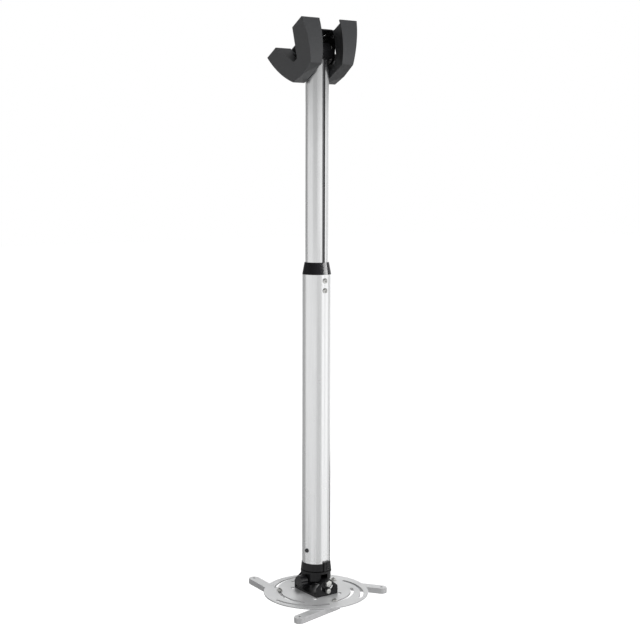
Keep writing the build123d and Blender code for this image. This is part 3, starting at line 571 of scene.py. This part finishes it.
def soft_edged(name, width):
    shape = welded(name)
    bmesh.ops.dissolve_limit(shape, angle_limit=FLAT, verts=shape.verts, edges=shape.edges)
    mesh = bpy.data.meshes.new(name + "_plain")
    shape.to_mesh(mesh)
    shape.free()
    mesh.shade_smooth()
    item = in_scene(name + "_plain", mesh)
    bevel = item.modifiers.new("soft edges", "BEVEL")
    bevel.limit_method = "ANGLE"
    bevel.angle_limit = BEVEL_FROM
    bevel.width = width
    bevel.segments = BEVEL_STEPS
    weight = item.modifiers.new("flat faces", "WEIGHTED_NORMAL")
    weight.keep_sharp = True
    mesh = baked(item, name + "_finish")
    mesh.materials.clear()
    mesh.materials.append(finish_of(name))
    return as_piece(name + "_finish", mesh, name)


for name, width in EDGES.items():
    piece = soft_edged(name, width * MM)
    print(name, len(piece.data.polygons), "faces")

# %% [markdown]
# ## A glint on the guide ring
# The ring is black and smooth, and in the photograph one lamp shows in it as a pale patch. The tubes
# stand in the same light without it. Light linking does that: this strip lamp shines on the ring alone,
# and this time reflections see it.

# %% Ring lamp
RING_STRIP = (68.0, 1.8, 0.44, 2.3, 0.24, 90.0)  # as in LAMPS
ring_lamp = soft_lamp("ring_strip", *RING_STRIP)
ring_lamp.visible_glossy = True
lit_by_strip = bpy.data.collections.new("lit_by_strip")
lit_by_strip.objects.link(bpy.data.objects["guide_ring_finish"])
ring_lamp.light_linking.receiver_collection = lit_by_strip
print("ring lamp at", tuple(round(c, 2) for c in ring_lamp.location))

# %% [markdown]
# ## Drawn tubes
# Both tubes are pushed through a die, so each is one outline along a straight line. That is a rule, and
# a small node tree can follow it. A circle gets a dent where the groove is, the bore gets the same dent
# one wall further in, and the ring between them is filled and extruded. The lower tube has no groove, so
# its dent has no width.

# %% Tube outline
def new_tree(name, inputs):
    """A Geometry Nodes tree with these inputs, and the identifier of each."""
    tree = bpy.data.node_groups.new(name, "GeometryNodeTree")
    keys = {}
    for label, kind in inputs:
        socket = tree.interface.new_socket(label, in_out="INPUT", socket_type="NodeSocket" + kind)
        keys[label] = socket.identifier
    tree.interface.new_socket("Geometry", in_out="OUTPUT", socket_type="NodeSocketGeometry")
    return tree, keys


tube_tree, tube_keys = new_tree("drawn_tube", [
    ("Length", "Float"), ("Radius", "Float"), ("Wall", "Float"), ("Groove Width", "Float"),
    ("Groove Depth", "Float"), ("Segments", "Int"), ("Material", "Material")])
tube_given = wired(tube_tree, "NodeGroupInput").outputs


def calculated(operation, a, b=0.0):
    return wired(tube_tree, "ShaderNodeMath", {0: a, 1: b}, operation=operation).outputs[0]


def dented_circle(radius, half_width, dent_floor):
    """A circle whose points near +X are pushed in to the dent's flat floor."""
    circle = wired(tube_tree, "GeometryNodeCurvePrimitiveCircle", {
        "Resolution": tube_given["Segments"], "Radius": radius})
    point = wired(tube_tree, "GeometryNodeInputPosition").outputs[0]
    spot = wired(tube_tree, "ShaderNodeSeparateXYZ", {0: point}).outputs
    beside = calculated("LESS_THAN", calculated("ABSOLUTE", spot["Y"]), half_width)
    in_front = calculated("GREATER_THAN", spot["X"], 0.0)
    floor_spot = wired(tube_tree, "ShaderNodeCombineXYZ", {"X": dent_floor, "Y": spot["Y"]})
    return wired(tube_tree, "GeometryNodeSetPosition", {
        "Geometry": circle.outputs["Curve"], "Selection": calculated("MULTIPLY", beside, in_front),
        "Position": floor_spot.outputs[0]}).outputs[0]


half = calculated("MULTIPLY", tube_given["Groove Width"], 0.5)
dent = calculated("SUBTRACT", tube_given["Radius"], tube_given["Groove Depth"])
bore = calculated("SUBTRACT", tube_given["Radius"], tube_given["Wall"])
grooved = calculated("GREATER_THAN", half, 0.0)
inner_half = calculated("MULTIPLY", calculated("ADD", half, tube_given["Wall"]), grooved)
inner_dent = calculated("SUBTRACT", dent, tube_given["Wall"])
outlines = wired(tube_tree, "GeometryNodeJoinGeometry")
outside = dented_circle(tube_given["Radius"], half, dent)
inside = dented_circle(bore, inner_half, inner_dent)
for outline in (outside, inside):
    tube_tree.links.new(outline, outlines.inputs[0])
print("outline nodes:", len(tube_tree.nodes))

# %% [markdown]
# ## Tube walls
# The filled ring is extruded, and its flipped copy closes the bottom. Merging by distance joins the two.
# Every tree here ends in the same pair of nodes, which turn copies into real faces and give them their
# material.

# %% Tube walls
def finish_tree(tree, geometry, material):
    real = wired(tree, "GeometryNodeRealizeInstances", {"Geometry": geometry})
    coated = wired(tree, "GeometryNodeSetMaterial", {"Geometry": real.outputs[0], "Material": material})
    wired(tree, "NodeGroupOutput", {"Geometry": coated.outputs[0]})


section = wired(tube_tree, "GeometryNodeFillCurve", {"Curve": outlines.outputs[0]}).outputs[0]
walls = wired(tube_tree, "GeometryNodeExtrudeMesh", {
    "Mesh": section, "Offset": (0.0, 0.0, 1.0), "Offset Scale": tube_given["Length"], "Individual": False})
underside = wired(tube_tree, "GeometryNodeFlipFaces", {"Mesh": section})
closed = wired(tube_tree, "GeometryNodeJoinGeometry")
for half_skin in (walls.outputs["Mesh"], underside.outputs["Mesh"]):
    tube_tree.links.new(half_skin, closed.inputs[0])
whole = wired(tube_tree, "GeometryNodeMergeByDistance", {"Geometry": closed.outputs[0], "Distance": WELD})
finish_tree(tube_tree, whole.outputs[0], tube_given["Material"])
print("tube tree:", len(tube_tree.nodes), "nodes")

# %% [markdown]
# ## Both tubes
# An empty mesh carries the tree as a modifier. Its inputs are set by their identifiers before Blender
# works the shape out, and the result is kept as a plain mesh at the tube's own height. Wall and groove
# have the construction's sizes.

# %% Both tubes
SMOOTH_UP_TO = math.radians(32.0)
TUBE_SEGMENTS = 360
GROOVE_WIDTH = 7.5 * MM
GROOVE_DEPTH = 4.0 * MM
TUBE_WALL = 2.5 * MM


def run_tree(item, tree, keys, values):
    modifier = item.modifiers.new(tree.name, "NODES")
    modifier.node_group = tree
    for label, value in values.items():
        modifier[keys[label]] = value


def drawn_tube(name, groove_width, groove_depth):
    low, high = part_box(name)
    item = in_scene(name + "_plan", bpy.data.meshes.new(name + "_plan"))
    run_tree(item, tube_tree, tube_keys, {
        "Length": high.z - low.z, "Radius": pole_x - low.x, "Wall": TUBE_WALL, "Groove Width": groove_width,
        "Groove Depth": groove_depth, "Segments": TUBE_SEGMENTS, "Material": finish_of(name)})
    mesh = baked(item, name + "_finish")
    mesh.transform(Matrix.Translation((pole_x, 0.0, low.z)))
    mesh.shade_smooth()
    mesh.set_sharp_from_angle(angle=SMOOTH_UP_TO)
    return as_piece(name + "_finish", mesh, name)


for tube in (drawn_tube("upper_tube", GROOVE_WIDTH, GROOVE_DEPTH), drawn_tube("lower_tube", 0.0, 0.0)):
    print(tube.name, len(tube.data.polygons), "faces")

# %% [markdown]
# ## Screws from rings
# A screw is turned and rolled, so it can be a stack of rings: circles for the shank, hexagons for a
# socket or a bolt's head, and for the thread rings whose radius dips once per pitch, a little further
# round on each ring. A skin through the rings makes one closed screw.

# %% Rings
SEGMENTS = 48
ANGLES = [2 * math.pi * k / SEGMENTS for k in range(SEGMENTS)]
SIXTH = math.pi / 3
THREAD_STEPS = 5
THREAD_DEPTH = 0.5


def ring_of(radii, z):
    return [(radius * math.cos(a), radius * math.sin(a), z) for a, radius in zip(ANGLES, radii)]


def circle_ring(radius, z):
    return ring_of([radius] * SEGMENTS, z)


def hexagon_ring(across_flats, z, corner_at=0.0, limit=math.inf):
    """A hexagon with a corner at an angle, cut off by a circle of the limit's radius."""
    flats = [((a - corner_at) % SIXTH) - SIXTH / 2 for a in ANGLES]
    return ring_of([min(across_flats / 2 / math.cos(f), limit) for f in flats], z)


def thread_rings(radius, low, high, pitch):
    """Rings whose radius dips once per pitch, turning with the height: a screw thread."""
    count = max(2, round(THREAD_STEPS * (high - low) / pitch))
    rings = []
    for k in range(count + 1):
        z = low + (high - low) * k / count
        dips = [abs(2 * ((z / pitch - a / (2 * math.pi)) % 1.0) - 1) for a in ANGLES]
        rings.append(ring_of([radius - THREAD_DEPTH * pitch * dip for dip in dips], z))
    return rings


def stacked(name, rings):
    """A closed skin through the rings, from the lowest up."""
    shape = bmesh.new()
    loops = [[shape.verts.new(spot) for spot in ring] for ring in rings]
    for low, high in zip(loops, loops[1:]):
        for k in range(SEGMENTS):
            n = (k + 1) % SEGMENTS
            shape.faces.new((low[k], low[n], high[n], high[k]))
    shape.faces.new(list(reversed(loops[0])))
    shape.faces.new(loops[-1])
    mesh = bpy.data.meshes.new(name)
    shape.to_mesh(mesh)
    shape.free()
    mesh.shade_smooth()
    mesh.set_sharp_from_angle(angle=SMOOTH_UP_TO)
    return in_scene(name, mesh)


print("one turn of thread:", THREAD_STEPS * SEGMENTS, "faces")

# %% [markdown]
# ## Three kinds of fastener
# The small screws have domed heads with a hexagon socket. The bolts have hexagon heads whose corners are
# turned off, and a thread at the tail only. The rivets are plain, with the dimple that the setting tool
# leaves.

# %% Fastener shapes
RIM_SHARE = 0.25
DOME_STEPS = 7
SOCKET_ACROSS = 1.5
SOCKET_DEPTH = 1.4
HEAD_STEPS = 5
HEAD_TOP = 0.95
HEAD_SLOPE = math.radians(30.0)
THREAD_REACH = 4.0
THREAD_EXTRA = 6.0 * MM
THREAD_SHARE = 0.8     # of a short bolt
THREAD_START = 0.3     # pitches between the thread and the end of the shank
THREAD_RUN_OUT = 0.5   # pitches from the thread to the plain shank
SOCKET_MOUTH = 0.6     # its radius over the width across flats
MOUTH_MARGIN = 0.1     # wider by this share of the shank
SOCKET_LIP = 0.95      # its height in the head
DIMPLE_MOUTH = 0.5     # radius over the shank's
DIMPLE_FLOOR = 0.45
DIMPLE_HEIGHT = 0.75   # of the head


def dome_rings(radius, height, inner):
    """From a short straight rim over a dome in to the inner radius."""
    rim = RIM_SHARE * height
    rings = [circle_ring(radius, 0.0), circle_ring(radius, rim)]
    last = math.acos(inner / radius)
    for k in range(1, DOME_STEPS + 1):
        turn = last * k / DOME_STEPS
        rise = (height - rim) * math.sin(turn) / math.sin(last)
        rings.append(circle_ring(radius * math.cos(turn), rim + rise))
    return rings


def button_screw(name, shank, length, head, height, pitch):
    socket = SOCKET_ACROSS * shank
    rings = [circle_ring(shank - THREAD_DEPTH * pitch, -length)]
    rings += thread_rings(shank, -length + THREAD_START * pitch, -THREAD_START * pitch, pitch)
    rings += [circle_ring(shank, 0.0)]
    rings += dome_rings(head, height, SOCKET_MOUTH * socket + MOUTH_MARGIN * shank)
    rings += [hexagon_ring(socket, SOCKET_LIP * height)]
    rings += [hexagon_ring(socket, height - SOCKET_DEPTH * height)]
    return stacked(name, rings)


def hexagon_bolt(name, shank, length, head, height, pitch, corner_at):
    across = head * math.sqrt(3)
    top = HEAD_TOP * across / 2
    slope = (head - top) * math.tan(HEAD_SLOPE)
    thread_end = min(THREAD_REACH * shank + THREAD_EXTRA, THREAD_SHARE * length) - length
    rings = [circle_ring(shank - THREAD_DEPTH * pitch, -length)]
    rings += thread_rings(shank, -length + THREAD_START * pitch, thread_end, pitch)
    rings += [circle_ring(shank, thread_end + THREAD_RUN_OUT * pitch), circle_ring(shank, 0.0)]
    rings += [hexagon_ring(across, 0.0, corner_at)]
    for k in range(HEAD_STEPS + 1):
        share = k / HEAD_STEPS
        limit = head + (top - head) * share
        rings.append(hexagon_ring(across, height - slope * (1 - share), corner_at, limit))
    return stacked(name, rings)


def rivet(name, shank, length, head, height):
    rings = [circle_ring(shank, -length), circle_ring(shank, 0.0)]
    rings += dome_rings(head, height, DIMPLE_MOUTH * shank)
    rings += [circle_ring(DIMPLE_FLOOR * shank, DIMPLE_HEIGHT * height)]
    return stacked(name, rings)


print("head of a bolt:", HEAD_STEPS, "steps down to the corners")

# %% [markdown]
# ## Fasteners on points
# A node tree sets a copy of one fastener on each point, with its axis along the hole. The points and
# sizes are measured on the construction's own screws: the widest ring is the head, and the seat is its
# lower side.

# %% Fastener tree
fastener_tree, fastener_keys = new_tree("fasteners_on_points", [
    ("Points", "Geometry"), ("Fastener", "Object"), ("Material", "Material")])
fastener_given = wired(fastener_tree, "NodeGroupInput").outputs
template_shape = wired(fastener_tree, "GeometryNodeObjectInfo", {"Object": fastener_given["Fastener"]})
hole_axis = wired(fastener_tree, "GeometryNodeInputNamedAttribute", {
    "Name": "axis"}, data_type="FLOAT_VECTOR")
along_hole = wired(fastener_tree, "FunctionNodeAlignRotationToVector", {
    "Vector": hole_axis.outputs["Attribute"]}, axis="Z")
copies = wired(fastener_tree, "GeometryNodeInstanceOnPoints", {
    "Points": fastener_given["Points"], "Instance": template_shape.outputs["Geometry"],
    "Rotation": along_hole.outputs[0]})
finish_tree(fastener_tree, copies.outputs[0], fastener_given["Material"])
print("fastener tree:", len(fastener_tree.nodes), "nodes")

# %% [markdown]
# ## Measuring the holes
# A node may hold several screws, so its skin is first parted into separate solids. For each solid the
# distances along and across its axis give the seat, the shank and the head.

# %% Measure screws
WIDE_SHARE = 0.95  # of the head's radius


def islands(name):
    """The points of each separate solid of a node."""
    skin = welded(name)
    left, found = set(skin.verts), []
    while left:
        to_visit, group = [left.pop()], []
        while to_visit:
            vertex = to_visit.pop()
            group.append(vertex.co.copy())
            for edge in vertex.link_edges:
                other = edge.other_vert(vertex)
                if other in left:
                    left.remove(other)
                    to_visit.append(other)
        found.append(group)
    skin.free()
    return found


def measured(points, axis):
    """Seat and axis towards the head, then shank radius, length, head radius and head height of a screw."""
    middle = sum(points, Vector()) / len(points)
    offsets = [p - middle for p in points]
    along = [o.dot(axis) for o in offsets]
    across = [(o - axis * a).length for o, a in zip(offsets, along)]
    head = max(across)
    wide = [a for a, r in zip(along, across) if r > WIDE_SHARE * head]
    if max(along) - max(wide) > min(wide) - min(along):
        return measured(points, -axis)
    seat = min(wide)
    shank = max(r for a, r in zip(along, across) if a < seat - WELD)
    return (middle + axis * seat, axis), (shank, seat - min(along), head, max(along) - seat)


print("solids in cover_screws:", len(islands("cover_screws")))

# %% [markdown]
# ## All fasteners
# Screws in the tubes point out from the pole, those of the disc point up, and the hinge's bolts lie
# across it. The thread's pitch is the usual one for the size.

# %% All fasteners
M4, M5, M6, M8, M10 = (pitch * MM for pitch in (0.7, 0.8, 1.0, 1.25, 1.5))
FLAT_UP = SIXTH / 2  # turns a head by half a corner


def fasteners(name, axis_of, make, *extra):
    found = [measured(points, axis_of(sum(points, Vector()) / len(points))) for points in islands(name)]
    sizes = found[0][1]
    template = make(name + "_one", *sizes, *extra)
    mesh = bpy.data.meshes.new(name + "_points")
    mesh.from_pydata([place[0] for place, _ in found], [], [])
    for value, (place, _) in zip(mesh.attributes.new("axis", "FLOAT_VECTOR", "POINT").data, found):
        value.vector = place[1]
    item = in_scene(name + "_points", mesh)
    run_tree(item, fastener_tree, fastener_keys, {"Fastener": template, "Material": finish_of(name)})
    made = as_piece(name + "_finish", baked(item, name + "_finish"), name)
    bpy.data.objects.remove(template)
    lengths = [round(size / MM, 2) for size in sizes]
    faces = len(made.data.polygons)
    print(name, len(found), "with shank, length, head and height", lengths, "-", faces, "faces")


def outward(spot):
    return Vector((spot.x - pole_x, spot.y, 0.0)).normalized()


def upward(spot):
    return Vector((0.0, 0.0, 1.0))


def crosswise(spot):
    return Vector((0.0, 1.0, 0.0))


for name, axis_of, pitch in (
        ("cover_screws", crosswise, M4), ("head_screws", outward, M4), ("clamp_screws", outward, M6),
        ("collar_screws", outward, M4), ("tube_set_screws", outward, M5), ("arm_screw_1", upward, M6),
        ("arm_screw_2", upward, M6), ("arm_screw_3", upward, M6)):
    fasteners(name, axis_of, button_screw, pitch)
fasteners("plate_rivets", upward, rivet)
for name, axis_of, pitch, corner_at in (
        ("pivot_bolt", crosswise, M10, FLAT_UP), ("lock_bolt", crosswise, M6, FLAT_UP),
        ("tilt_bolt", crosswise, M8, FLAT_UP), ("roll_bolts", outward, M8, 0.0),
        ("roll_lock_bolts", outward, M6, 0.0)):
    fasteners(name, axis_of, hexagon_bolt, pitch, corner_at)
